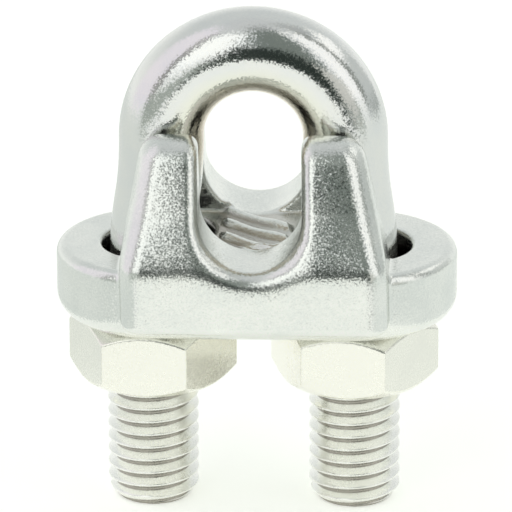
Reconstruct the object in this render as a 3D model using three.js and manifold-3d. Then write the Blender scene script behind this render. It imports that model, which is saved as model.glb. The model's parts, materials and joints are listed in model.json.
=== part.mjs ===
// A wire rope clip for 10 mm rope: a U-bolt with two M10 legs, a cast saddle that slides on the legs,
// and two hexagon nuts that pull the saddle up towards the bow of the U-bolt.
// Millimetres, +Z up. The clip stands on the ends of its legs: the origin is on the ground under the
// middle of the saddle, X runs from leg to leg, and the rope would run along Y.
import * as THREE from "three";
import { mergeVertices } from "three/addons/utils/BufferGeometryUtils.js";
import Module from "manifold-3d";

const wasm = await Module();
wasm.setup();

// ---- driving dimensions ---------------------------------------------------------------------------
const LEG_SPACING = 22; // between the axes of the two threaded legs
const U_BOLT_X = -0.35; // the leg holes leave play, and the U-bolt sits this far off the saddle's middle
const THREAD_DIAMETER = 10; // M10
const PITCH = 1.5; // coarse pitch of M10
const ROD_DIAMETER = 9.2; // plain rod, a little thinner than its rolled thread
const THREAD_LENGTH = 28.5; // from the end of a leg up to the run-out
const BOW_RADIUS = 9.95; // centreline of the bow, which is a little narrower than the legs
const BOW_CENTRE_Z = 41.8;
const LEG_STRAIGHT_Z = 27; // above this height the legs lean in towards the bow

const NUT_ACROSS_FLATS = 16;
const NUT_HEIGHT = 7.3;
const NUT_BASE_Z = 14.1; // lower face of each nut
const NUT_TURN = { left: -4.7, right: -7.6 }; // degrees that each nut happens to be turned by

const SEAT_GAP = 0.05; // between a nut and the saddle
const LUG_RADIUS = 10.75; // round ends of the saddle's bar
const BAR_EDGE = { bottom: 2.6, top: 0.9 }; // how much its edges are rounded off
const BAR_HEIGHT = 8.05;
const HOLE_INNER_X = 4.5; // the leg holes are slots with round ends, from this far off the middle
const HOLE_OUTER_X = 16.75;
const HOLE_HALF_WIDTH = 5.25;
const WING_HALF_LENGTH = 14.1; // the saddle's half length along the rope
const WING_RISE = 2.3; // the wings stop this far above the nut seats
const WING_HALF_WIDTH = { bottom: 14.4, top: 11.8 };
const BAND_HEIGHT = 7.2; // upright band round the foot of each wing, below its sloping faces
const HORN_TOP_Z = 44;
const HORN_TOP_Y = 8.6; // where a wing's sloping face ends, at the top of its horns
const TROUGH_RADIUS = 5.55; // the rope seat
const TROUGH_AXIS_Z = 36.28;
const CHANNEL_FLOOR_Z = 30.9; // of the straight channel between the front and the back horns
const RIB_HEIGHT = 0.45; // lay ribs that stand out of that floor
const RIB_WIDTH = 1.5;
const RIB_TURN = -36; // degrees from X, the lay of the rope's strands
const RIB_OFFSETS = [-3.9, -0.6, 2.3]; // of each rib from the middle of the saddle, square to the ribs
const RIB_HALF_SPREAD = 3.6; // how far they reach along X

// ---- worked out from them -------------------------------------------------------------------------
const LEG_X = { left: U_BOLT_X - LEG_SPACING / 2, right: U_BOLT_X + LEG_SPACING / 2 };
const LUG_X = LEG_SPACING / 2;
const CREST_RADIUS = THREAD_DIAMETER / 2;
const ROOT_RADIUS = CREST_RADIUS - 0.6134 * PITCH; // depth of a metric external thread
const SADDLE_BASE_Z = NUT_BASE_Z + NUT_HEIGHT + SEAT_GAP;
const BAR_TOP_Z = SADDLE_BASE_Z + BAR_HEIGHT;
const WING_BASE_Z = SADDLE_BASE_Z + WING_RISE;
const BAND_TOP_Z = WING_BASE_Z + BAND_HEIGHT;

const THREAD_SEGMENTS = 16; // facets in one turn
const CURVE_SEGMENTS = 10; // facets in a quarter turn of an outline
const FULL_TURN = 2 * Math.PI;

// ---- solids ---------------------------------------------------------------------------------------
// A closed three.js geometry as a solid that can be cut and joined.
function solid(geometry) {
  const bare = geometry.clone();
  bare.deleteAttribute("normal");
  bare.deleteAttribute("uv");
  const merged = mergeVertices(bare, 1e-4);
  return new wasm.Manifold(
    new wasm.Mesh({
      numProp: 3,
      vertProperties: new Float32Array(merged.attributes.position.array),
      triVerts: new Uint32Array(merged.index.array),
    }),
  );
}

// A solid as a named mesh.
function piece(name, body, material) {
  const { vertProperties, triVerts } = body.getMesh();
  const geometry = new THREE.BufferGeometry();
  geometry.setAttribute("position", new THREE.BufferAttribute(vertProperties, 3));
  geometry.setIndex(new THREE.BufferAttribute(triVerts, 1));
  geometry.computeVertexNormals();
  const mesh = new THREE.Mesh(geometry, material);
  mesh.name = name;
  return mesh;
}

// An outline in X and Z, made as long as depth along Y and centred on Y = 0.
function alongY(outline, depth) {
  const geometry = new THREE.ExtrudeGeometry(outline, {
    depth,
    bevelEnabled: false,
    curveSegments: CURVE_SEGMENTS,
  });
  const turned = new THREE.Matrix4().makeBasis(
    new THREE.Vector3(1, 0, 0),
    new THREE.Vector3(0, 0, 1),
    new THREE.Vector3(0, -1, 0),
  );
  return solid(geometry.applyMatrix4(turned).translate(0, depth / 2, 0));
}

// An outline in Y and Z, made as wide as width along X and centred on X = 0.
function alongX(outline, width) {
  const geometry = new THREE.ExtrudeGeometry(outline, {
    depth: width,
    bevelEnabled: false,
    curveSegments: CURVE_SEGMENTS,
  });
  const turned = new THREE.Matrix4().makeBasis(
    new THREE.Vector3(0, 1, 0),
    new THREE.Vector3(0, 0, 1),
    new THREE.Vector3(1, 0, 0),
  );
  return solid(geometry.applyMatrix4(turned).translate(-width / 2, 0, 0));
}

// A slot with round ends in X and Y: halfLength along X, halfWidth along Y, centred on centreX.
function slotOutline(centreX, halfLength, halfWidth) {
  const reach = halfLength - halfWidth;
  return new THREE.Shape()
    .absarc(centreX + reach, 0, halfWidth, -Math.PI / 2, Math.PI / 2, false)
    .absarc(centreX - reach, 0, halfWidth, Math.PI / 2, (3 * Math.PI) / 2, false)
    .closePath();
}

// A body turned about the upright axis at (x, 0): profile holds [radius, z] points from axis to axis.
function turnedBody(profile, x, segments) {
  const points = profile.map(([radius, z]) => new THREE.Vector2(radius, z));
  const geometry = new THREE.LatheGeometry(points, segments);
  return solid(geometry.rotateX(Math.PI / 2).translate(x, 0, 0));
}

// ---- thread ---------------------------------------------------------------------------------------
const CREST_HALF_WIDTH = PITCH / 16;
const FLANK_SLOPE = Math.tan(Math.PI / 6); // each flank of a metric thread leans 30 degrees
const RIDGE_FOOT = 0.15; // how deep the ridge is set into its core
const RUN_OUT_TURNS = 1;

// The ridge of a right-hand thread about the axis at (x, 0), starting below startZ. grow makes it larger
// all round, for the tap that cuts a nut. Its height fades out over the last turn.
function threadRidge(x, startZ, turns, grow) {
  const steps = Math.round(turns * THREAD_SEGMENTS);
  const footRadius = ROOT_RADIUS - RIDGE_FOOT;
  const positions = [];
  for (let i = 0; i <= steps; i += 1) {
    const angle = (FULL_TURN * i) / THREAD_SEGMENTS;
    const z = startZ + (PITCH * i) / THREAD_SEGMENTS;
    const fade = Math.min(1, (steps - i) / (RUN_OUT_TURNS * THREAD_SEGMENTS));
    const crest = ROOT_RADIUS + (CREST_RADIUS - ROOT_RADIUS) * fade + grow;
    const crestHalf = CREST_HALF_WIDTH + grow / 2;
    const footHalf = crestHalf + (crest - footRadius) * FLANK_SLOPE;
    const section = [
      [footRadius, -footHalf],
      [crest, -crestHalf],
      [crest, crestHalf],
      [footRadius, footHalf],
    ];
    for (const [radius, rise] of section)
      positions.push(x + radius * Math.cos(angle), radius * Math.sin(angle), z + rise);
  }
  const corners = 4;
  const indices = [0, 1, 2, 0, 2, 3];
  for (let i = 0; i < steps; i += 1)
    for (let k = 0; k < corners; k += 1) {
      const here = i * corners + k;
      const beside = i * corners + ((k + 1) % corners);
      indices.push(here, here + corners, beside + corners, here, beside + corners, beside);
    }
  const last = steps * corners;
  indices.push(last, last + 2, last + 1, last, last + 3, last + 2);
  const geometry = new THREE.BufferGeometry();
  geometry.setAttribute("position", new THREE.Float32BufferAttribute(positions, 3));
  geometry.setIndex(indices);
  return solid(geometry);
}

// The threaded end of a leg: core and ridge, pointed by a chamfer at the bottom.
function threadedLeg(x) {
  const END_RADIUS = 3.9;
  const CHAMFER_HEIGHT = 1.5;
  const turns = THREAD_LENGTH / PITCH + 1;
  const core = turnedBody(
    [
      [0, 0],
      [ROOT_RADIUS, 0],
      [ROOT_RADIUS, THREAD_LENGTH],
      [0, THREAD_LENGTH],
    ],
    x,
    THREAD_SEGMENTS,
  );
  const envelope = turnedBody(
    [
      [0, 0],
      [END_RADIUS, 0],
      [CREST_RADIUS + 0.1, CHAMFER_HEIGHT],
      [CREST_RADIUS + 0.1, THREAD_LENGTH],
      [0, THREAD_LENGTH],
    ],
    x,
    THREAD_SEGMENTS * 2,
  );
  return core.add(threadRidge(x, -PITCH, turns, 0)).intersect(envelope);
}

// ---- u_bolt ---------------------------------------------------------------------------------------
// The plain rod: up from one thread, leaning in, round the bow, and down to the other thread.
function bowPath() {
  const rodFoot = THREAD_LENGTH - 1;
  const lean = (BOW_CENTRE_Z - LEG_STRAIGHT_Z) / 2;
  const path = new THREE.CurvePath();
  const at = (x, z) => new THREE.Vector3(U_BOLT_X + x, 0, z);
  const leg = (side) =>
    new THREE.CubicBezierCurve3(
      at((side * LEG_SPACING) / 2, rodFoot),
      at((side * LEG_SPACING) / 2, rodFoot + lean - 1),
      at(side * BOW_RADIUS, BOW_CENTRE_Z - lean),
      at(side * BOW_RADIUS, BOW_CENTRE_Z),
    );
  class Bow extends THREE.Curve {
    getPoint(t) {
      const angle = Math.PI * (1 - t);
      return at(BOW_RADIUS * Math.cos(angle), BOW_CENTRE_Z + BOW_RADIUS * Math.sin(angle));
    }
  }
  const down = leg(1);
  path.add(leg(-1));
  path.add(new Bow());
  path.add(new THREE.CubicBezierCurve3(down.v3, down.v2, down.v1, down.v0));
  return path;
}

function buildUBolt() {
  const ROD_HALF_SIDES = 12;
  const ROD_STEPS = 40;
  const section = new THREE.Shape().absarc(0, 0, ROD_DIAMETER / 2, 0, FULL_TURN, false);
  const rod = new THREE.ExtrudeGeometry(section, {
    steps: ROD_STEPS,
    curveSegments: ROD_HALF_SIDES,
    extrudePath: bowPath(),
  });
  return solid(rod).add(threadedLeg(LEG_X.left)).add(threadedLeg(LEG_X.right));
}

// ---- nuts -----------------------------------------------------------------------------------------
// A hexagon nut with both faces chamfered, tapped to run on its leg with a little clearance.
function buildNut(x, turnDegrees) {
  const CHAMFER_SLOPE = Math.tan((38 * Math.PI) / 180);
  const FACE_RADIUS = 0.94 * (NUT_ACROSS_FLATS / 2);
  const TAP_CLEARANCE = 0.12;
  const cornerRadius = NUT_ACROSS_FLATS / Math.sqrt(3);
  const outline = new THREE.Shape();
  for (let k = 0; k < 6; k += 1) {
    const angle = (k * Math.PI) / 3 + (turnDegrees * Math.PI) / 180;
    const corner = [x + cornerRadius * Math.cos(angle), cornerRadius * Math.sin(angle)];
    if (k === 0) outline.moveTo(...corner);
    else outline.lineTo(...corner);
  }
  const prism = new THREE.ExtrudeGeometry(outline, { depth: NUT_HEIGHT, bevelEnabled: false });
  const top = NUT_BASE_Z + NUT_HEIGHT;
  const outside = cornerRadius + 1;
  const drop = (outside - FACE_RADIUS) * CHAMFER_SLOPE;
  const chamfers = turnedBody(
    [
      [0, NUT_BASE_Z],
      [FACE_RADIUS, NUT_BASE_Z],
      [outside, NUT_BASE_Z + drop],
      [outside, top - drop],
      [FACE_RADIUS, top],
      [0, top],
    ],
    x,
    6 * CURVE_SEGMENTS,
  );
  const bore = turnedBody(
    [
      [0, NUT_BASE_Z - 1],
      [ROOT_RADIUS + TAP_CLEARANCE, NUT_BASE_Z - 1],
      [ROOT_RADIUS + TAP_CLEARANCE, top + 1],
      [0, top + 1],
    ],
    x,
    THREAD_SEGMENTS,
  );
  const mouth = CREST_RADIUS + 0.3;
  const countersinks = turnedBody(
    [
      [0, NUT_BASE_Z - 1],
      [mouth + 1, NUT_BASE_Z - 1],
      [ROOT_RADIUS, NUT_BASE_Z + mouth - ROOT_RADIUS],
      [ROOT_RADIUS, top - mouth + ROOT_RADIUS],
      [mouth + 1, top + 1],
      [0, top + 1],
    ],
    x,
    THREAD_SEGMENTS * 2,
  );
  const startTurn = Math.floor(NUT_BASE_Z / PITCH) - 2; // below the nut, in step with the leg's thread
  const tapTurns = NUT_HEIGHT / PITCH + 5;
  const tap = threadRidge(x, startTurn * PITCH, tapTurns, TAP_CLEARANCE);
  return solid(prism.translate(0, 0, NUT_BASE_Z))
    .intersect(chamfers)
    .subtract(bore)
    .subtract(countersinks)
    .subtract(tap);
}

// ---- saddle ---------------------------------------------------------------------------------------
// The bar that joins the two round lugs, from bottomZ to topZ, with both its edges rounded off alike.
function evenBar(bottomZ, topZ, edge) {
  const outline = slotOutline(0, LUG_X + LUG_RADIUS, LUG_RADIUS);
  const bar = new THREE.ExtrudeGeometry(outline, {
    depth: topZ - bottomZ - 2 * edge,
    bevelEnabled: true,
    bevelThickness: edge,
    bevelSize: edge,
    bevelOffset: -edge,
    bevelSegments: 3,
    curveSegments: 2 * CURVE_SEGMENTS,
  });
  return solid(bar.translate(0, 0, bottomZ + edge));
}

// The same bar with a well rounded bottom edge and a crisper top edge.
function saddleBar() {
  const { bottom, top } = BAR_EDGE;
  const roundBelow = evenBar(SADDLE_BASE_Z, BAR_TOP_Z + 2 * bottom, bottom);
  const roundAbove = evenBar(SADDLE_BASE_Z - 2 * top, BAR_TOP_Z, top);
  return roundBelow.intersect(roundAbove);
}

// The two wings as one block: the view from the front, cut to the view from the side.
function saddleWings() {
  const { bottom, top } = WING_HALF_WIDTH;
  const ROUND = 1.3; // of the corners that the front view shows
  const TOP_ROUND = 1.4; // where the sloping faces end at the top
  const front = new THREE.Shape()
    .moveTo(-bottom + ROUND, WING_BASE_Z)
    .lineTo(bottom - ROUND, WING_BASE_Z)
    .quadraticCurveTo(bottom, WING_BASE_Z, bottom, WING_BASE_Z + ROUND)
    .lineTo(bottom, BAND_TOP_Z)
    .lineTo(top, HORN_TOP_Z - ROUND)
    .quadraticCurveTo(top, HORN_TOP_Z, top - ROUND, HORN_TOP_Z)
    .lineTo(-top + ROUND, HORN_TOP_Z)
    .quadraticCurveTo(-top, HORN_TOP_Z, -top, HORN_TOP_Z - ROUND)
    .lineTo(-bottom, BAND_TOP_Z)
    .lineTo(-bottom, WING_BASE_Z + ROUND)
    .quadraticCurveTo(-bottom, WING_BASE_Z, -bottom + ROUND, WING_BASE_Z);
  const side = new THREE.Shape()
    .moveTo(-WING_HALF_LENGTH, WING_BASE_Z)
    .lineTo(WING_HALF_LENGTH, WING_BASE_Z)
    .lineTo(WING_HALF_LENGTH, BAND_TOP_Z)
    .lineTo(HORN_TOP_Y, HORN_TOP_Z - TOP_ROUND)
    .quadraticCurveTo(HORN_TOP_Y, HORN_TOP_Z, HORN_TOP_Y - TOP_ROUND, HORN_TOP_Z)
    .lineTo(TOP_ROUND - HORN_TOP_Y, HORN_TOP_Z)
    .quadraticCurveTo(-HORN_TOP_Y, HORN_TOP_Z, -HORN_TOP_Y, HORN_TOP_Z - TOP_ROUND)
    .lineTo(-WING_HALF_LENGTH, BAND_TOP_Z)
    .closePath();
  return alongY(front, 2 * WING_HALF_LENGTH + 2).intersect(alongX(side, 2 * bottom + 2));
}

// The rope's path: a half-round seat, open upwards.
function ropeTrough() {
  const outline = new THREE.Shape()
    .absarc(0, TROUGH_AXIS_Z, TROUGH_RADIUS, Math.PI, FULL_TURN, false)
    .lineTo(TROUGH_RADIUS, HORN_TOP_Z + 1)
    .lineTo(-TROUGH_RADIUS, HORN_TOP_Z + 1)
    .closePath();
  return alongY(outline, 2 * WING_HALF_LENGTH + 2);
}

// The hole for one leg: a slot with round ends, right through the saddle.
function legHole(side) {
  const height = HORN_TOP_Z - SADDLE_BASE_Z + 2;
  const middle = (HOLE_OUTER_X + HOLE_INNER_X) / 2;
  const outline = slotOutline(side * middle, HOLE_OUTER_X - middle, HOLE_HALF_WIDTH);
  const hole = new THREE.ExtrudeGeometry(outline, {
    depth: height,
    bevelEnabled: false,
    curveSegments: CURVE_SEGMENTS * 2,
  });
  return solid(hole.translate(0, 0, SADDLE_BASE_Z - 1));
}

// The straight channel between the front and the back horns, in which the bow passes.
function bowChannel() {
  const height = HORN_TOP_Z - CHANNEL_FLOOR_Z + 1;
  const channel = new THREE.BoxGeometry(2 * (LUG_X + LUG_RADIUS), 2 * HOLE_HALF_WIDTH, height);
  return solid(channel.translate(0, 0, CHANNEL_FLOOR_Z + height / 2));
}

// Slanting ribs on the floor of that channel, which bite into the lay of the rope.
function layRibs() {
  const DEPTH = 1; // how deep the ribs are set into the floor
  const height = RIB_HEIGHT + DEPTH;
  const middleZ = CHANNEL_FLOOR_Z + RIB_HEIGHT - height / 2;
  const field = new THREE.BoxGeometry(2 * RIB_HALF_SPREAD, 2 * HOLE_HALF_WIDTH, 2 * height);
  const bounds = solid(field.translate(0, 0, middleZ));
  let ribs = null;
  for (const offset of RIB_OFFSETS) {
    const bar = new THREE.BoxGeometry(4 * RIB_HALF_SPREAD, RIB_WIDTH, height);
    bar.translate(0, offset, middleZ);
    bar.rotateZ((RIB_TURN * Math.PI) / 180);
    const rib = bounds.intersect(solid(bar));
    ribs = ribs ? ribs.add(rib) : rib;
  }
  return ribs;
}

function buildSaddle() {
  return saddleBar()
    .add(saddleWings())
    .subtract(ropeTrough())
    .subtract(bowChannel())
    .add(layRibs())
    .subtract(legHole(-1))
    .subtract(legHole(1));
}

// ---- the clip -------------------------------------------------------------------------------------
const polishedSteel = new THREE.MeshStandardMaterial({ color: 0xd3d5d2, roughness: 0.22, metalness: 1 });
const castSteel = new THREE.MeshStandardMaterial({ color: 0xcdd0cc, roughness: 0.32, metalness: 1 });
const nutSteel = new THREE.MeshStandardMaterial({ color: 0xd9dad4, roughness: 0.36, metalness: 1 });

const wireRopeClip = new THREE.Group();
wireRopeClip.add(
  piece("u_bolt", buildUBolt(), polishedSteel),
  piece("saddle", buildSaddle(), castSteel),
  piece("left_nut", buildNut(LEG_X.left, NUT_TURN.left), nutSteel),
  piece("right_nut", buildNut(LEG_X.right, NUT_TURN.right), nutSteel),
);

export default wireRopeClip;
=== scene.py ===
# The looks of a wire rope clip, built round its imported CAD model. Lengths below are in millimetres, in the
# model's frame: +Z up, X from leg to leg, Y along the rope. Meshes are scaled to metres as they are made.
import json
import math

import bmesh
import bpy
import numpy as np
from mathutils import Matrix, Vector


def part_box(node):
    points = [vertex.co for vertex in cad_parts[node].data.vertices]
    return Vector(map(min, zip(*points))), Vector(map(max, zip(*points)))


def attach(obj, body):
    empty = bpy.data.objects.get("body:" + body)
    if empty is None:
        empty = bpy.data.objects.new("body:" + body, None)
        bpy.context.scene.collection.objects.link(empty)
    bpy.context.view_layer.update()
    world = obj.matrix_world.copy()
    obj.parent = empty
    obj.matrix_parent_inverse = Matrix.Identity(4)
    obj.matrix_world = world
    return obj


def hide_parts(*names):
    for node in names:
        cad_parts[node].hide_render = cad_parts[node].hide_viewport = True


MM = 0.001
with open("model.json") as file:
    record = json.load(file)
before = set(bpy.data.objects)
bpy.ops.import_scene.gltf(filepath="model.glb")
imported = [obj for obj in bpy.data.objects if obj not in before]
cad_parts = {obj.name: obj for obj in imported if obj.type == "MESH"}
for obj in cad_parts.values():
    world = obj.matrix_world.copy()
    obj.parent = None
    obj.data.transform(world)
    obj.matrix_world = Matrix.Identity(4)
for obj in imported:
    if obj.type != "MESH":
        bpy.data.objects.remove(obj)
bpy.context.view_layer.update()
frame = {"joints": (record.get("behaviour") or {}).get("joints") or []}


# ---- sizes that come from the frame ---------------------------------------------------------------
def box_mm(node):
    """Lowest and highest corner of a CAD node's box."""
    low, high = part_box(node)
    return np.array(low) / MM, np.array(high) / MM


def joint_x(name):
    return next(j["pos_m"][0] for j in frame["joints"] if j["name"] == name) / MM


saddle_low, saddle_high = box_mm("saddle")
bolt_high = box_mm("u_bolt")[1]
nut_low, nut_high = box_mm("left_nut")
LEFT_LEG_X = joint_x("left_nut_spin")
RIGHT_LEG_X = joint_x("right_nut_spin")
BOLT_X = (LEFT_LEG_X + RIGHT_LEG_X) / 2
LEG_SPACING = RIGHT_LEG_X - LEFT_LEG_X

# ---- driving dimensions ---------------------------------------------------------------------------
CREST_RADIUS = 4.97
PITCH = 1.5
ROD_RADIUS = 4.6
THREAD_TOP_Z = 28.5
LEG_STRAIGHT_Z = 27
BOW_RADIUS = 9.95
BOW_CENTRE_Z = bolt_high[2] - BOW_RADIUS - ROD_RADIUS

NUT_ACROSS_FLATS = 16
NUT_TURN = {"left": -4.7, "right": -7.6}

LUG_RADIUS = 10.75
LUG_X = saddle_high[0] - LUG_RADIUS
BAR_TOP_Z = saddle_low[2] + 8.05
WING_BASE_Z = saddle_low[2] + 2.33
WING_HALF_WIDTH = 14.4
HORN_HALF_WIDTH = 11.8
BAND_TOP_Z = WING_BASE_Z + 7.35
TROUGH_RADIUS = 5.55
TROUGH_AXIS_Z = 36.28
TROUGH_X = -0.25
CHANNEL_FLOOR_Z = 30.87
HOLE_INNER_X = 4.6
HOLE_OUTER_X = 16.75
HOLE_MIDDLE_X = (HOLE_INNER_X + HOLE_OUTER_X) / 2
HOLE_HALF_LENGTH = (HOLE_OUTER_X - HOLE_INNER_X) / 2
HOLE_HALF_WIDTH = 5.25


# ---- meshes ---------------------------------------------------------------------------------------
def make_object(name, points, faces, normals=None):
    """A smooth mesh object from points in millimetres."""
    mesh = bpy.data.meshes.new(name)
    mesh.from_pydata((np.asarray(points) * MM).tolist(), [], np.asarray(faces).tolist())
    mesh.shade_smooth()
    if normals is not None:
        mesh.normals_split_custom_set_from_vertices(normals.tolist())
    mesh.update()
    piece = bpy.data.objects.new(name, mesh)
    bpy.context.scene.collection.objects.link(piece)
    return piece


CELL_CORNERS = tuple((i, j, k) for i in (0, 1) for j in (0, 1) for k in (0, 1))
SLOPE_STEP = 0.02
SETTLING_ROUNDS = 4  # how many times the points are moved towards the surface
LEAST_STEEPNESS = 0.2  # floor for a squared slope, so that no move is far too long


def slopes_of(distance, points):
    """Gradient of the distance at each point."""
    slopes = np.empty_like(points)
    for axis in range(3):
        ahead = points.copy()
        behind = points.copy()
        ahead[:, axis] += SLOPE_STEP
        behind[:, axis] -= SLOPE_STEP
        slopes[:, axis] = (distance(*ahead.T) - distance(*behind.T)) / (2 * SLOPE_STEP)
    return slopes


def crossed_cells(inside):
    """The grid cells that the surface passes through, and the same cells numbered on the whole grid."""
    shape = tuple(n - 1 for n in inside.shape)

    def corner(i, j, k):
        return inside[i : i + shape[0], j : j + shape[1], k : k + shape[2]].astype(np.int8)

    full = sum(corner(*c) for c in CELL_CORNERS)
    cells = np.argwhere((full > 0) & (full < len(CELL_CORNERS)))
    number = np.full(shape, -1)
    number[tuple(cells.T)] = np.arange(len(cells))
    return cells, number


def mean_crossings(field, cells):
    """For each cell, the mean of the places where the surface crosses its edges, counted in cells."""
    total = np.zeros((len(cells), 3))
    count = np.zeros(len(cells))
    for c in CELL_CORNERS:
        for axis in range(3):
            if c[axis]:
                continue
            d = tuple(1 if k == axis else v for k, v in enumerate(c))
            a = field[tuple((cells + c).T)]
            b = field[tuple((cells + d).T)]
            crossed = (a < 0) != (b < 0)
            share = np.where(crossed, a / np.where(crossed, a - b, 1), 0)
            place = cells + np.array(c, float)
            place[:, axis] += share
            total += place * crossed[:, None]
            count += crossed
    return total / count[:, None]


def settled(distance, points, longest_move):
    """The points, moved along the slope onto the surface."""
    for _ in range(SETTLING_ROUNDS):
        slopes = slopes_of(distance, points)
        steep = np.maximum((slopes**2).sum(1), LEAST_STEEPNESS)
        move = distance(*points.T) / steep
        points = points - slopes * np.clip(move, -longest_move, longest_move)[:, None]
    return points


def crossing_quads(inside, number):
    """One quad for each grid edge that the surface crosses, joining the four cells round that edge."""
    quads = []
    for axis in range(3):
        u, v = (axis + 1) % 3, (axis + 2) % 3
        here = np.moveaxis(inside, axis, 0)
        edges = np.argwhere(here[:-1] != here[1:])
        start = np.empty_like(edges)
        others = [k for k in range(3) if k != axis]
        start[:, axis] = edges[:, 0]
        start[:, others[0]] = edges[:, 1]
        start[:, others[1]] = edges[:, 2]
        around = []
        for du, dv in ((-1, -1), (0, -1), (0, 0), (-1, 0)):
            near = start.copy()
            near[:, u] += du
            near[:, v] += dv
            around.append(number[tuple(near.T)])
        quad = np.stack(around, 1)
        leaving = inside[tuple(start.T)]
        quad[~leaving] = quad[~leaving][:, ::-1]
        quads.append(quad)
    return np.concatenate(quads)


def surface(distance, low, high, cell):
    """The closed surface where distance(x, y, z) is 0, as points, quads and normals."""
    lines = [np.arange(a - 2 * cell, b + 3 * cell, cell) for a, b in zip(low, high)]
    field = distance(*np.meshgrid(*lines, indexing="ij", sparse=True))
    cells, number = crossed_cells(field < 0)
    origin = np.array([line[0] for line in lines])
    points = settled(distance, origin + mean_crossings(field, cells) * cell, cell / 2)
    normals = slopes_of(distance, points)
    normals /= np.linalg.norm(normals, axis=1)[:, None]
    return points, crossing_quads(field < 0, number), normals


# ---- distances: negative inside a solid -----------------------------------------------------------
def both(a, b, round_off):
    """The part that two solids share, its new edge rounded off by that radius."""
    rim = np.hypot(np.maximum(a + round_off, 0), np.maximum(b + round_off, 0))
    return rim + np.minimum(np.maximum(a, b), -round_off)


def joined(a, b, fillet):
    """Two solids as one, with a fillet of that radius where they meet."""
    return -both(-a, -b, fillet)


def soft_max(a, b, width):
    """The larger of two values, blended where they differ by less than width."""
    near = np.maximum(width - np.abs(a - b), 0) / width
    return np.maximum(a, b) + near * near * width / 4


def bell(value, half_width):
    """1 at 0, falling smoothly to 0 at half_width and beyond."""
    share = np.clip(1 - (value / half_width) ** 2, 0, 1)
    return share * share


# ---- saddle ---------------------------------------------------------------------------------------
BAR_BOTTOM_ROUNDING = 2.7
BAR_TOP_ROUNDING = 1.1


def leg_holes(x, y):
    """Both slots for the legs, with round ends, right through the saddle."""
    reach = HOLE_HALF_LENGTH - HOLE_HALF_WIDTH
    return np.hypot(np.maximum(np.abs(np.abs(x) - HOLE_MIDDLE_X) - reach, 0), y) - HOLE_HALF_WIDTH


def saddle_bar(x, y, z):
    """The bar with its two round lugs."""
    lugs = np.hypot(np.maximum(np.abs(x) - LUG_X, 0), y) - LUG_RADIUS
    bar = both(lugs, saddle_low[2] - z, BAR_BOTTOM_ROUNDING)
    return both(bar, z - BAR_TOP_Z, BAR_TOP_ROUNDING)


FACE_SLOPE = 0.42  # how fast a horn's front face falls back as it rises
BEND_HEIGHT = 0.45  # the band turns into that face in a soft bend, not a crease
SIDE_SLOPE = (WING_HALF_WIDTH - HORN_HALF_WIDTH) / (saddle_high[2] - BAND_TOP_Z)
SIDE_BLEND = 0.3
DIP_BELOW_SEAT = 1.25
DIP_Z = TROUGH_AXIS_Z - TROUGH_RADIUS - DIP_BELOW_SEAT  # where the bend dips under the rope seat
DIP_CURVE = 0.05
DIP_BLEND = 0.8
CASTING_LEAN = 0.025  # the casting leans this much to the left as it rises
HORN_MIDDLE_X = 8.6
FACE_CROWN_RADIUS = 150  # of the faces of both horns together
HORN_CROWN_RADIUS = 36  # of each horn's own face
CROWN_FADE = 6  # the crown grows from nothing to full over this height above the band
CORNER_ROUNDING = 2.4  # the upright corners of the wings
HORN_TOP_ROUNDING = 2.2
WING_FOOT_ROUNDING = 1.0


def leaning(x, z):
    """X as measured from the casting's own middle at that height."""
    return x + CASTING_LEAN * (z - BAND_TOP_Z)


def saddle_wings(x, y, z):
    """The block of both wings: upright bands at the foot, and above them faces that lean in."""
    across = np.abs(leaning(x, z))
    dip = DIP_Z + DIP_CURVE * across**2
    rise = z + soft_max(-BAND_TOP_Z, -dip, DIP_BLEND)
    set_back = FACE_SLOPE * BEND_HEIGHT * np.logaddexp(0, rise / BEND_HEIGHT)
    share = 1 / (1 + np.exp(-rise / BEND_HEIGHT))
    crown = across**2 / (2 * FACE_CROWN_RADIUS) + (across - HORN_MIDDLE_X) ** 2 / (2 * HORN_CROWN_RADIUS)
    crown = crown * np.clip((z - BAND_TOP_Z) / CROWN_FADE, 0, 1)
    front = (np.abs(y) - saddle_high[1] + set_back + crown) / np.sqrt(1 + (FACE_SLOPE * share) ** 2)
    leaning_side = across - WING_HALF_WIDTH + SIDE_SLOPE * (z - BAND_TOP_Z)
    side = soft_max(across - WING_HALF_WIDTH, leaning_side, SIDE_BLEND)
    block = both(front, side, CORNER_ROUNDING)
    block = both(block, z - saddle_high[2], HORN_TOP_ROUNDING)
    return both(block, WING_BASE_Z - z, WING_FOOT_ROUNDING)


RIB_HEIGHT = 0.65
RIB_HALF_WIDTH = 1.2
RIB_TURN = math.radians(-36)
RIB_OFFSETS = (-3.9, -0.6, 2.3)
RIB_HALF_SPREAD = 3.6
CHANNEL_FILLET = 0.4  # between the channel's floor and its walls
RIB_FADE = 0.7  # how far the ribs take to sink into the floor at their ends


def lay_ribs(x, y):
    """Height of the slanting ribs that bite into the lay of the rope."""
    over_rib = y * math.cos(RIB_TURN) - x * math.sin(RIB_TURN)
    ribs = sum(bell(over_rib - offset, RIB_HALF_WIDTH) for offset in RIB_OFFSETS)
    fade = np.clip((RIB_HALF_SPREAD + RIB_FADE / 2 - np.abs(x)) / RIB_FADE, 0, 1)
    inside = np.clip((HOLE_HALF_WIDTH - np.abs(y)) / RIB_FADE + 1, 0, 1)
    return RIB_HEIGHT * ribs * fade * inside


def trough(x, y, z):
    """The rope seat: half round, open upwards."""
    below = np.minimum(z - TROUGH_AXIS_Z, 0)
    return np.hypot(leaning(x, z) - TROUGH_X, below) - TROUGH_RADIUS + lay_ribs(x, y)


def bow_channel(x, y, z):
    """The straight channel between the front and the back horns, with the ribs on its floor."""
    floor = CHANNEL_FLOOR_Z + lay_ribs(x, y)
    return both(np.abs(y) - HOLE_HALF_WIDTH, floor - z, CHANNEL_FILLET)


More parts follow.
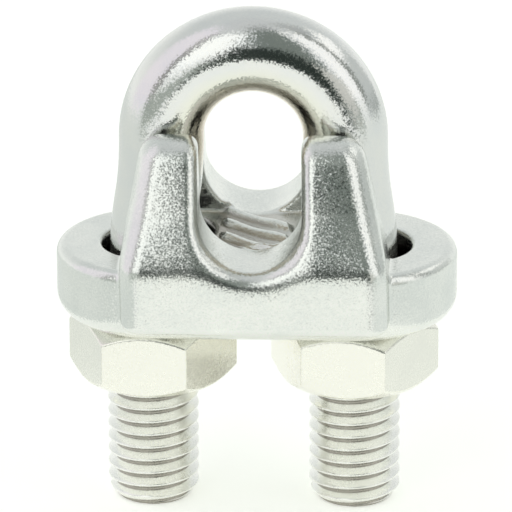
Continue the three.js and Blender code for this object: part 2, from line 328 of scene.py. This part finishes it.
FOOT_FILLET = 0.5  # between the bar and the wings
SEAT_ROUNDING = 1.35  # the rims of the rope seat
CHANNEL_ROUNDING = 0.5
HOLE_ROUNDING = 0.6


def saddle_distance(x, y, z):
    """The whole casting: bar and wings, less the rope seat, the bow's channel and the leg holes."""
    solid = joined(saddle_bar(x, y, z), saddle_wings(x, y, z), FOOT_FILLET)
    solid = both(solid, -trough(x, y, z), SEAT_ROUNDING)
    solid = both(solid, -bow_channel(x, y, z), CHANNEL_ROUNDING)
    return both(solid, -leg_holes(x, y), HOLE_ROUNDING)


SADDLE_CELL = 0.27  # how fine the casting's mesh is


def build_saddle():
    points, quads, normals = surface(saddle_distance, saddle_low, saddle_high, SADDLE_CELL)
    return make_object("saddle_casting", points, quads, normals)


# ---- u_bolt ---------------------------------------------------------------------------------------
ROUND_STEPS = 80
THREAD_DEPTH = 0.6134 * PITCH  # of a metric thread
FLANK_ANGLE = math.radians(30)
CREST_HALF_WIDTH = PITCH / 16
END_RADIUS = 3.9
END_CHAMFER = 1.3
THREAD_END_GAP = 0.1  # the last thread has faded out this far below the plain rod
HANDLE_DROP = 0.5  # the lower handle of each leg's curve sits this far below halfway
LEG_POINTS = 40
BOW_POINTS = 90
SEAM_GAP = 0.002  # points nearer than this are one point
HALF_FORM = (0, 0.05, 0.07, 0.09, 0.16, 0.24, 0.32, 0.39, 0.42, 0.45)  # shares of a pitch, from crest to root
THREAD_ROWS = np.array(HALF_FORM + (0.5,) + tuple(1 - share for share in HALF_FORM[:0:-1]))


def smooth_step(value, start, end):
    """0 up to start, 1 from end on, and a smooth rise in between."""
    share = np.clip((value - start) / (end - start), 0, 1)
    return share * share * (3 - 2 * share)


def thread_radius(turn_share):
    """Radius across one pitch: a narrow crest, 30 degree flanks and a narrow root, both slightly rounded."""
    offset = np.abs((turn_share + 0.5) % 1 - 0.5) * PITCH
    depth = np.clip((offset - CREST_HALF_WIDTH) / math.tan(FLANK_ANGLE), 0, THREAD_DEPTH)
    return CREST_RADIUS - depth


def threaded_leg(centre_x):
    """A leg's threaded end, from the middle of its flat end up to the plain rod. Row by row, the points wind
    up the helix: the last column runs on into the first column one turn higher."""
    below = math.ceil(END_RADIUS / PITCH) + 1
    turns = below + math.ceil(THREAD_TOP_Z / PITCH) + 1
    per_turn = len(THREAD_ROWS)
    share = np.append((np.arange(turns)[:, None] + THREAD_ROWS).ravel(), turns)
    share, column = np.meshgrid(share, np.arange(ROUND_STEPS), indexing="ij")
    height = (share - below + column / ROUND_STEPS) * PITCH
    chamfer = END_RADIUS + (CREST_RADIUS - END_RADIUS) * np.clip(height / END_CHAMFER, 0, 1)
    radius = np.minimum(thread_radius(share), chamfer)
    run_out = smooth_step(height, THREAD_TOP_Z - PITCH, THREAD_TOP_Z - THREAD_END_GAP)
    radius = radius * (1 - run_out) + ROD_RADIUS * run_out
    radius = np.where(height < 0, np.maximum(END_RADIUS + height, 0), radius)
    height = np.clip(height, 0, THREAD_TOP_Z)
    angle = column * 2 * math.pi / ROUND_STEPS
    points = np.stack([centre_x + radius * np.cos(angle), radius * np.sin(angle), height], -1)
    index = np.arange(share.size).reshape(share.shape)
    beside = np.full_like(index, index[-1, 0])
    beside[:, :-1] = index[:, 1:]
    beside[:-per_turn, -1] = index[per_turn:, 0]
    quads = np.stack([index[:-1], beside[:-1], beside[1:], index[1:]], -1)
    return points.reshape(-1, 3), quads.reshape(-1, 4)


def bow_route():
    """Centre line of the plain rod, as X and Z: up the left leg, round the bow and down the right leg."""
    half_rise = (BOW_CENTRE_Z - LEG_STRAIGHT_Z) / 2
    t = np.linspace(0, 1, LEG_POINTS)[:, None]
    leg = np.array(
        [
            [LEG_SPACING / 2, THREAD_TOP_Z],
            [LEG_SPACING / 2, LEG_STRAIGHT_Z + half_rise - HANDLE_DROP],
            [BOW_RADIUS, BOW_CENTRE_Z - half_rise],
            [BOW_RADIUS, BOW_CENTRE_Z],
        ]
    )
    share = [(1 - t) ** 3, 3 * t * (1 - t) ** 2, 3 * t**2 * (1 - t), t**3]
    right = sum(s * point for s, point in zip(share, leg))
    turn = np.linspace(math.pi, 0, BOW_POINTS)[1:-1]
    bow = np.stack([BOW_RADIUS * np.cos(turn), BOW_CENTRE_Z + BOW_RADIUS * np.sin(turn)], 1)
    route = np.concatenate([right * (-1, 1), bow, right[::-1]])
    return route + (BOLT_X, 0)


def plain_rod():
    """The rod's surface from leg to leg, open at both ends, where it meets the threads."""
    route = bow_route()
    ahead = np.gradient(route, axis=0)
    ahead[0] = (0, 1)
    ahead[-1] = (0, -1)
    ahead /= np.linalg.norm(ahead, axis=1)[:, None]
    angle = np.arange(ROUND_STEPS) * 2 * math.pi / ROUND_STEPS
    inward = np.stack([ahead[:, 1], -ahead[:, 0]], 1)
    x = route[:, :1] + ROD_RADIUS * inward[:, :1] * np.cos(angle)
    z = route[:, 1:] + ROD_RADIUS * inward[:, 1:] * np.cos(angle)
    y = np.broadcast_to(ROD_RADIUS * np.sin(angle), x.shape)
    points = np.stack([x, y, z], -1)
    index = np.arange(x.size).reshape(x.shape)
    beside = np.roll(index, -1, axis=1)
    quads = np.stack([index[:-1], beside[:-1], beside[1:], index[1:]], -1)
    return points.reshape(-1, 3), quads.reshape(-1, 4)


def build_u_bolt():
    """Both threaded ends and the plain rod between them, welded into one mesh."""
    points = np.empty((0, 3))
    quads = np.empty((0, 4), int)
    for some_points, some_quads in (threaded_leg(LEFT_LEG_X), plain_rod(), threaded_leg(RIGHT_LEG_X)):
        quads = np.concatenate([quads, some_quads + len(points)])
        points = np.concatenate([points, some_points])
    piece = make_object("bent_rod", points, quads)
    work = bmesh.new()
    work.from_mesh(piece.data)
    bmesh.ops.remove_doubles(work, verts=work.verts, dist=SEAM_GAP * MM)
    bmesh.ops.dissolve_degenerate(work, edges=work.edges, dist=SEAM_GAP / 2 * MM)
    work.to_mesh(piece.data)
    work.free()
    piece.data.shade_smooth()
    return piece


# ---- nuts -----------------------------------------------------------------------------------------
NUT_EDGE = 0.14  # rounding of the upright edges
NUT_FACE_RADIUS = 0.94 * NUT_ACROSS_FLATS / 2  # of the round flat face inside the chamfer
NUT_CHAMFER = math.radians(38)
NUT_CLEARANCE = 0.12
NUT_FLAT_ROUNDING = 0.12  # between the flats and the chamfer cones
NUT_FACE_ROUNDING = 0.2  # between the cones and the flat faces
MOUTH_DEPTH = 0.35  # of the countersink at each end of the bore
BORE_SCALE = 0.85  # radial distances are a little too long where the thread's flanks slant
NUT_CELL = 0.17  # how fine the nuts' meshes are


def hexagon(x, y, apothem):
    """Distance to a hexagon that has two of its flats square to Y."""
    x, y = np.abs(x), np.abs(y)
    fold = np.minimum(-math.sqrt(0.75) * x + 0.5 * y, 0) * 2
    x = x + math.sqrt(0.75) * fold
    y = y - 0.5 * fold
    half_side = apothem / math.sqrt(3)
    return np.hypot(x - np.clip(x, -half_side, half_side), y - apothem) * np.sign(y - apothem)


def nut_distance(centre_x, turn_degrees):
    """The distance to a chamfered, threaded hexagon nut round a leg, as a function of x, y and z."""
    turn = math.radians(turn_degrees)

    def distance(x, y, z):
        east = x - centre_x
        along = east * math.cos(turn) + y * math.sin(turn)
        across = y * math.cos(turn) - east * math.sin(turn)
        flats = hexagon(along, across, NUT_ACROSS_FLATS / 2 - NUT_EDGE) - NUT_EDGE
        radius = np.hypot(east, y)
        face = np.abs(z - (nut_low[2] + nut_high[2]) / 2) - (nut_high[2] - nut_low[2]) / 2
        cone = (radius - NUT_FACE_RADIUS) * math.sin(NUT_CHAMFER) + face * math.cos(NUT_CHAMFER)
        solid = both(both(flats, cone, NUT_FLAT_ROUNDING), face, NUT_FACE_ROUNDING)
        angle = np.arctan2(y, east)
        groove = thread_radius(z / PITCH - angle / (2 * math.pi)) + NUT_CLEARANCE
        mouth = CREST_RADIUS + MOUTH_DEPTH + face
        bore = (np.maximum(groove, mouth) - radius) * BORE_SCALE
        return np.maximum(solid, bore)

    return distance


def build_nut(side, centre_x):
    reach = NUT_ACROSS_FLATS / math.sqrt(3)
    low = (centre_x - reach, -reach, nut_low[2])
    high = (centre_x + reach, reach, nut_high[2])
    points, quads, normals = surface(nut_distance(centre_x, NUT_TURN[side]), low, high, NUT_CELL)
    return make_object(side + "_hex_nut", points, quads, normals)


# ---- materials ------------------------------------------------------------------------------------
SPECKLE_DETAIL = 2.0


class Nodes:
    """Short ways to add and link shader nodes."""

    def __init__(self, tree):
        self.tree = tree
        tree.nodes.clear()

    def add(self, kind, **settings):
        node = self.tree.nodes.new(kind)
        for name, value in settings.items():
            setattr(node, name, value)
        return node

    def link(self, source, target):
        self.tree.links.new(source, target)

    def math(self, operation, first, second=None, third=None):
        node = self.add("ShaderNodeMath", operation=operation)
        for socket, value in zip(node.inputs, (first, second, third)):
            if value is None:
                continue
            if isinstance(value, (int, float)):
                socket.default_value = value
            else:
                self.link(value, socket)
        return node.outputs[0]

    def remap(self, value, from_low, from_high, to_low, to_high, smooth=False):
        node = self.add("ShaderNodeMapRange", interpolation_type="SMOOTHSTEP" if smooth else "LINEAR")
        self.link(value, node.inputs["Value"])
        ends = {"From Min": from_low, "From Max": from_high, "To Min": to_low, "To Max": to_high}
        for name, number in ends.items():
            node.inputs[name].default_value = number
        return node.outputs["Result"]

    def noise(self, place, size_mm, detail, output="Fac"):
        """Noise whose lumps are about size_mm across."""
        node = self.add("ShaderNodeTexNoise")
        node.inputs["Scale"].default_value = 1 / (size_mm * MM)
        node.inputs["Detail"].default_value = detail
        self.link(place, node.inputs["Vector"])
        return node.outputs[output]

    def mix(self, factor, first, second):
        node = self.add("ShaderNodeMix", data_type="RGBA")
        self.link(factor, node.inputs["Factor"])
        for socket, value in ((node.inputs[6], first), (node.inputs[7], second)):
            if isinstance(value, tuple):
                socket.default_value = (*value, 1)
            else:
                self.link(value, socket)
        return node.outputs[2]

    def bump(self, height, depth_mm):
        node = self.add("ShaderNodeBump")
        node.inputs["Distance"].default_value = depth_mm * MM
        self.link(height, node.inputs["Height"])
        return node.outputs["Normal"]

    def vector(self, operation, first, second=None, factor=None):
        node = self.add("ShaderNodeVectorMath", operation=operation)
        self.link(first, node.inputs[0])
        if isinstance(second, tuple):
            node.inputs[1].default_value = second
        elif second:
            self.link(second, node.inputs[1])
        if isinstance(factor, float):
            node.inputs["Scale"].default_value = factor
        elif factor:
            self.link(factor, node.inputs["Scale"])
        return node.outputs[0]

    def split(self, place):
        node = self.add("ShaderNodeSeparateXYZ")
        self.link(place, node.inputs[0])
        return node.outputs

    def stretched(self, place, scales):
        node = self.add("ShaderNodeMapping")
        node.inputs["Scale"].default_value = scales
        self.link(place, node.inputs["Vector"])
        return node.outputs["Vector"]

    def speckle(self, place, size_mm, tilt, normal):
        """Tilts the normal at random from one lump to the next, by about the same in every direction."""
        noise = self.noise(place, size_mm, SPECKLE_DETAIL, output="Color")
        offset = self.vector("SUBTRACT", noise, (0.5, 0.5, 0.5))
        offset = self.vector("SCALE", offset, factor=tilt)
        return self.vector("NORMALIZE", self.vector("ADD", normal, offset))


ROLLED_COLOUR = (0.93, 0.93, 0.89)  # of the threads
ROLLED_BLUR = 0.14  # how much duller the threads are than the plain rod
ROLLED_FADE = 1  # the plain rod takes on the threads' finish over this height
ROOT_SHADE_HEIGHT = (0.02, 0.12)  # painted shade in the threads' roots: full up to the first height above the roots, gone by the second
INNER_TINT_COLOUR = (0.81, 0.81, 0.71)  # on the inner half of the bow
INNER_TINT_DEPTH = (0.4, 2)  # where that tint begins and is full, measured in from the bow's middle line
UNDERSIDE_TINT_COLOUR = (0.60, 0.53, 0.43)  # on the bow's underside
UNDERSIDE_TINT_DEPTH = (2, 4)
BOW_TINT_ENDS_Z = (-5, -1)  # the bow's tints fade out between these heights from the bow's centre
PAINTED_ROOT_SHADE = (0.4, 0.38, 0.34)  # painted shade between the ribs and at the bottom of the threads
# painted shade in the leg holes
HOLE_SHADE_COLOUR = (0.1, 0.095, 0.085)
CHANNEL_SHADE_HEIGHT = (0.08, 0.4)  # painted shade on the channel's floor between the ribs: full up to the first height above the floor, gone by the second
CHANNEL_SHADE_X = (4, 6)  # full out to the first distance from the middle, gone by the second
CHANNEL_SHADE_LEFT = (-3, 5)  # full left of the first X, and down to the share below right of the second
CHANNEL_SHADE_RIGHT_SHARE = 0.35
CHANNEL_SHADE_EDGE = 0.5  # how far from the channel's walls it begins to fade
HOLE_MARGIN = 0.1  # the painted shade reaches this far past the leg holes' nominal walls
HOLE_SHADE_DEPTH = (0.6, 1.6)  # that painted shade begins and is full this far below the bar's top


def brown_underside(nodes, place, colour):
    """A brown tint on the underside of the bow, over a paler tint on its inner half."""
    x, _, z = nodes.split(place)
    beside = nodes.math("SUBTRACT", x, BOLT_X * MM)
    above = nodes.math("SUBTRACT", z, BOW_CENTRE_Z * MM)
    square = nodes.math("MULTIPLY", beside, beside)
    radius = nodes.math("SQRT", nodes.math("MULTIPLY_ADD", above, above, square))
    on_bow = nodes.remap(above, BOW_TINT_ENDS_Z[0] * MM, BOW_TINT_ENDS_Z[1] * MM, 0, 1)
    for (start, full), overlay in ((INNER_TINT_DEPTH, INNER_TINT_COLOUR), (UNDERSIDE_TINT_DEPTH, UNDERSIDE_TINT_COLOUR)):
        inward = nodes.remap(radius, (BOW_RADIUS - full) * MM, (BOW_RADIUS - start) * MM, 1, 0)
        colour = nodes.mix(nodes.math("MULTIPLY", inward, on_bow), colour, overlay)
    return colour


def rolled_thread(nodes, place, colour, blur):
    """The finish of the legs' threads, with painted shade in their roots, blended into the plain rod's finish
    above them.
    """
    x, y, z = nodes.split(place)
    beside = nodes.math("ABSOLUTE", nodes.math("SUBTRACT", x, BOLT_X * MM))
    beside = nodes.math("SUBTRACT", beside, LEG_SPACING / 2 * MM)
    square = nodes.math("MULTIPLY", beside, beside)
    radius = nodes.math("SQRT", nodes.math("MULTIPLY_ADD", y, y, square))
    full, gone = (CREST_RADIUS - THREAD_DEPTH + height for height in ROOT_SHADE_HEIGHT)
    # painted shade in the threads' roots
    in_root = nodes.remap(radius, full * MM, gone * MM, 1, 0)
    rolled_colour = nodes.mix(in_root, ROLLED_COLOUR, PAINTED_ROOT_SHADE)
    rolled = nodes.remap(z, THREAD_TOP_Z * MM, (THREAD_TOP_Z + ROLLED_FADE) * MM, 1, 0)
    return nodes.mix(rolled, colour, rolled_colour), nodes.math("MULTIPLY_ADD", rolled, ROLLED_BLUR, blur)


def rod_tint_and_shade(nodes, place, colour, blur):
    """The bent rod's tints on the bow, and its threads with painted shade in their roots."""
    return rolled_thread(nodes, place, brown_underside(nodes, place, colour), blur)


def saddle_painted_shade(nodes, place, colour, blur):
    """Painted shade: a brown shade on the channel's floor between the ribs, most of all on its left, and a
    dark shade in the leg holes."""
    x, y, z = nodes.split(place)
    # painted shade low on the channel's floor between the ribs, more on the left
    full, gone = (CHANNEL_FLOOR_Z + height for height in CHANNEL_SHADE_HEIGHT)
    low = nodes.remap(z, full * MM, gone * MM, 1, 0)
    wall = HOLE_HALF_WIDTH * MM
    inside = nodes.remap(nodes.math("ABSOLUTE", y), wall - CHANNEL_SHADE_EDGE * MM, wall, 1, 0)
    full, gone = CHANNEL_SHADE_X
    near = nodes.remap(nodes.math("ABSOLUTE", x), full * MM, gone * MM, 1, 0)
    left, right = CHANNEL_SHADE_LEFT
    leftward = nodes.remap(x, left * MM, right * MM, 1, CHANNEL_SHADE_RIGHT_SHARE)
    overlay = nodes.math("MULTIPLY", nodes.math("MULTIPLY", low, inside), nodes.math("MULTIPLY", near, leftward))
    colour = nodes.mix(overlay, colour, PAINTED_ROOT_SHADE)
    # near-black painted shade in the leg holes, below the bar's top
    off_middle = nodes.math("SUBTRACT", nodes.math("ABSOLUTE", x), HOLE_MIDDLE_X * MM)
    off_middle = nodes.math("ABSOLUTE", off_middle)
    in_hole = nodes.math("LESS_THAN", off_middle, (HOLE_HALF_LENGTH + HOLE_MARGIN) * MM)
    near_middle = nodes.math("LESS_THAN", nodes.math("ABSOLUTE", y), (HOLE_HALF_WIDTH + HOLE_MARGIN) * MM)
    in_hole = nodes.math("MULTIPLY", in_hole, near_middle)
    gone, full = (BAR_TOP_Z - depth for depth in HOLE_SHADE_DEPTH)
    deep = nodes.remap(z, full * MM, gone * MM, 1, 0)
    return nodes.mix(nodes.math("MULTIPLY", in_hole, deep), colour, HOLE_SHADE_COLOUR), blur


CALM_SHARE = 0.75  # how much of the grain's tilt is left where the casting is calmer
CALM_BLEND = 1.2  # the tilt changes over this height above and below the limit
CLOUD_SIZE = 4.0
TONE_DETAIL = 3.0
WAVE_SIZE = 2.2  # of the shallow waves in every surface
WAVE_DEPTH = 0.02
WAVE_DETAIL = 1.0
BRUSH_SIZE = 0.4
BRUSH_TILT = 0.08
BLUR_SWING = 0.03  # how far clouds and grain each take the roughness up and down
NOISE_RANGE = (0.3, 0.7)  # nearly all of a noise lies in here
TONE_RANGE = (0.8, 1.2)  # and nearly all of the sum of two noises in here


def calmer_below(nodes, place, height, grain_tilt):
    """The grain's tilt, a little weaker below the given height than above it."""
    z = nodes.split(place)[2]
    low, high = (height - CALM_BLEND) * MM, (height + CALM_BLEND) * MM
    return nodes.remap(z, low, high, CALM_SHARE * grain_tilt, grain_tilt)


def steel(name, light, dark, roughness, grain_mm, grain_tilt, brush_scales=None, tint_and_shade=None, calm_below=None):
    """Stainless steel: cloudy tone and roughness, a fine speckled grain, optional brush lines, and optional
    tints and painted shade.
    """
    material = bpy.data.materials.new(name)
    material.use_nodes = True
    nodes = Nodes(material.node_tree)
    place = nodes.add("ShaderNodeTexCoord").outputs["Object"]
    clouds = nodes.noise(place, CLOUD_SIZE, TONE_DETAIL)
    grain = nodes.noise(place, grain_mm, TONE_DETAIL)
    tone = nodes.math("ADD", clouds, grain)
    colour = nodes.mix(nodes.remap(tone, *TONE_RANGE, 0, 1), dark, light)
    blur = nodes.math("ADD", nodes.remap(clouds, *NOISE_RANGE, -BLUR_SWING, BLUR_SWING), roughness)
    blur = nodes.math("ADD", nodes.remap(grain, *NOISE_RANGE, -BLUR_SWING, BLUR_SWING), blur)
    if tint_and_shade:
        colour, blur = tint_and_shade(nodes, place, colour, blur)
    shader = nodes.add("ShaderNodeBsdfPrincipled")
    shader.inputs["Metallic"].default_value = 1.0
    nodes.link(colour, shader.inputs["Base Color"])
    nodes.link(blur, shader.inputs["Roughness"])
    normal = nodes.bump(nodes.noise(place, WAVE_SIZE, WAVE_DETAIL), WAVE_DEPTH)
    if brush_scales:
        normal = nodes.speckle(nodes.stretched(place, brush_scales), BRUSH_SIZE, BRUSH_TILT, normal)
    if calm_below:
        grain_tilt = calmer_below(nodes, place, calm_below, grain_tilt)
    normal = nodes.speckle(place, grain_mm, grain_tilt, normal)
    nodes.link(normal, shader.inputs["Normal"])
    output = nodes.add("ShaderNodeOutputMaterial")
    nodes.link(shader.outputs["BSDF"], output.inputs["Surface"])
    return material


# ---- the clip -------------------------------------------------------------------------------------
def finish_piece(piece, node, body, material):
    """Gives a piece its material, hangs it on the empty of the body it moves with, and hides the CAD node it
    stands for.
    """
    piece.data.materials.append(material)
    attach(piece, body)
    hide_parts(node)


polished = steel(
    "polished_steel",
    light=(0.80, 0.80, 0.77),
    dark=(0.75, 0.76, 0.75),
    roughness=0.14,
    grain_mm=0.2,
    grain_tilt=0.3,
    tint_and_shade=rod_tint_and_shade,
)
cast = steel(
    "cast_steel",
    light=(0.85, 0.86, 0.82),
    dark=(0.75, 0.77, 0.74),
    roughness=0.23,
    grain_mm=0.2,
    grain_tilt=0.52,
    tint_and_shade=saddle_painted_shade,
    calm_below=BAND_TOP_Z,
)
machined = steel(
    "nut_steel",
    light=(0.94, 0.93, 0.85),
    dark=(0.9, 0.89, 0.82),
    roughness=0.26,
    grain_mm=0.3,
    grain_tilt=0.2,
    brush_scales=(1, 1, 14),
)

finish_piece(build_u_bolt(), "u_bolt", "u_bolt", polished)
finish_piece(build_saddle(), "saddle", "saddle", cast)
finish_piece(build_nut("left", LEFT_LEG_X), "left_nut", "left_nut", machined)
finish_piece(build_nut("right", RIGHT_LEG_X), "right_nut", "right_nut", machined)


# ---- studio ---------------------------------------------------------------------------------------
TABLE_FRONT_Y = -235  # what the clip mirrors of the table ends here, and the dark room shows beyond it
TABLE_SIDE_X = 42  # and on the left and the right it ends this far out
FLOOR_HALF = 3000
TABLE_COLOUR = (0.94, 0.95, 0.92)
TABLE_ROUGHNESS = 0.9
TABLE_SHINE = 0.1
TABLE_GLOW = (0.98, 1.0, 0.94)
TABLE_GLOW_STRENGTH = 0.38
ROOM_LOW = (1.0, 1.02, 1.0)  # the room's light at the horizon
ROOM_HIGH = (0.7, 0.73, 0.73)  # and from this many degrees above it
ROOM_HIGH_ELEVATION = 40
BACKDROP = (1.0, 1.0, 0.98)
# The light round the clip as soft-edged windows, later ones over earlier ones: azimuth from and to, from
# the front towards +X, elevation from and to, how soft the sides and the ends are, all in degrees, and
# the light itself.
WINDOWS = (
    ("ceiling", -200, 200, 69, 120, 1, 7, (0.66, 0.68, 0.69)),
    ("left_wall", -107, -56, -2, 66, 9, 6, (0.94, 0.9, 0.96)),
    ("left_foot", -182, -40, -70, -5, 6, 4, (0.8, 0.84, 0.81)),
    ("right_wall", 79, 132, -30, 78, 5, 6, (0.63, 0.66, 0.65)),
    ("right_wall_foot", 95, 128, -8, 2, 5, 4, (0.45, 0.48, 0.46)),
    ("right_foot", 40, 182, -70, -5, 6, 4, (0.88, 0.92, 0.89)),
    ("above_right_lamp", 84, 125, 56, 78, 5, 6, (0.5, 0.52, 0.52)),
    ("right_lamp", 84, 130, 32, 50, 5, 5, (1.2, 1.2, 1.18)),
    ("gap_beside_left_lamp", -60, -49, 0, 62, 4, 6, (0.3, 0.3, 0.29)),
    ("left_lamp", -47, -11, 13, 59, 4, 7, (1.24, 1.26, 1.24)),
    ("front_lamp", 47, 79, 5, 66, 7, 6, (1.17, 1.17, 1.16)),
    ("gap_beside_front_lamp", 80, 91, 5, 66, 4, 6, (0.25, 0.27, 0.25)),
    ("low_front", -62, 60, -12, 3, 6, 4, (0.42, 0.46, 0.42)),
    ("high_front", -20, 45, 66, 86, 8, 6, (0.48, 0.5, 0.5)),
    ("dark_doorway", -5, 38, -12, 72, 7, 6, (0.21, 0.24, 0.22)),
    ("deep_doorway", -12, 24, -12, 22, 5, 7, (0.03, 0.04, 0.035)),
    ("lit_sill", 27, 52, -6, 17, 5, 4, (0.7, 0.7, 0.66)),
)


def build_floor():
    """A pale table top that glows a little, as a light table does. The clip mirrors only its middle."""
    material = bpy.data.materials.new("pale_floor")
    material.use_nodes = True
    shader = material.node_tree.nodes["Principled BSDF"]
    shader.inputs["Base Color"].default_value = (*TABLE_COLOUR, 1)
    shader.inputs["Roughness"].default_value = TABLE_ROUGHNESS
    shader.inputs["Specular IOR Level"].default_value = TABLE_SHINE
    shader.inputs["Emission Color"].default_value = (*TABLE_GLOW, 1)
    shader.inputs["Emission Strength"].default_value = TABLE_GLOW_STRENGTH
    parts = (
        ("table", -TABLE_SIDE_X, TABLE_SIDE_X, TABLE_FRONT_Y, FLOOR_HALF),
        ("left_floor", -FLOOR_HALF, -TABLE_SIDE_X, TABLE_FRONT_Y, FLOOR_HALF),
        ("right_floor", TABLE_SIDE_X, FLOOR_HALF, TABLE_FRONT_Y, FLOOR_HALF),
        ("front_floor", -FLOOR_HALF, FLOOR_HALF, -FLOOR_HALF, TABLE_FRONT_Y),
    )
    for name, left, right, front, back in parts:
        corners = [(left, front, 0), (right, front, 0), (right, back, 0), (left, back, 0)]
        part = make_object(name, corners, [(0, 1, 2, 3)])
        part.data.materials.append(material)
        part.visible_glossy = name == "table"


def build_world():
    """A soft tent of light for the clip to mirror, and a plain pale backdrop behind the clip."""
    world = bpy.data.worlds.new("studio")
    world.use_nodes = True
    bpy.context.scene.world = world
    nodes = Nodes(world.node_tree)
    x, y, z = nodes.split(nodes.add("ShaderNodeTexCoord").outputs["Generated"])
    azimuth = nodes.math("ARCTAN2", x, nodes.math("MULTIPLY", y, -1))
    elevation = nodes.math("ARCSINE", z)

    def between(angle, start, end, soft):
        start, end, soft = math.radians(start), math.radians(end), math.radians(soft)
        rising = nodes.remap(angle, start - soft, start + soft, 0, 1, smooth=True)
        falling = nodes.remap(angle, end - soft, end + soft, 1, 0, smooth=True)
        return nodes.math("MULTIPLY", rising, falling)

    height = nodes.remap(elevation, 0, math.radians(ROOM_HIGH_ELEVATION), 0, 1)
    light = nodes.mix(height, ROOM_LOW, ROOM_HIGH)
    for _, left, right, bottom, top, soft_sides, soft_ends, radiance in WINDOWS:
        across = between(azimuth, left, right, soft_sides)
        window = nodes.math("MULTIPLY", across, between(elevation, bottom, top, soft_ends))
        light = nodes.mix(window, light, radiance)
    light = nodes.mix(nodes.add("ShaderNodeLightPath").outputs["Is Camera Ray"], light, BACKDROP)
    shader = nodes.add("ShaderNodeBackground")
    nodes.link(light, shader.inputs["Color"])
    output = nodes.add("ShaderNodeOutputWorld")
    nodes.link(shader.outputs["Background"], output.inputs["Surface"])


CAMERA_AZIMUTH = math.radians(2.2)
CAMERA_ELEVATION = math.radians(21.5)
CAMERA_ROLL = math.radians(-0.1)
CAMERA_DISTANCE = 837
CAMERA_LENS = 542
SENSOR_WIDTH = 36
CAMERA_AIM = (-0.1, 0, 27.78)


def build_camera():
    """The camera of the photo, as fitted to it."""
    back = Vector(
        (
            math.sin(CAMERA_AZIMUTH) * math.cos(CAMERA_ELEVATION),
            -math.cos(CAMERA_AZIMUTH) * math.cos(CAMERA_ELEVATION),
            math.sin(CAMERA_ELEVATION),
        )
    )
    lens = bpy.data.cameras.new("camera")
    lens.lens = CAMERA_LENS
    lens.sensor_width = SENSOR_WIDTH
    camera = bpy.data.objects.new("camera", lens)
    bpy.context.scene.collection.objects.link(camera)
    camera.location = (Vector(CAMERA_AIM) + back * CAMERA_DISTANCE) * MM
    camera.rotation_euler = back.to_track_quat("Z", "Y").to_euler()
    camera.rotation_euler.rotate_axis("Z", CAMERA_ROLL)
    bpy.context.scene.camera = camera


build_floor()
build_world()
build_camera()
bpy.context.scene.view_settings.view_transform = "Standard"
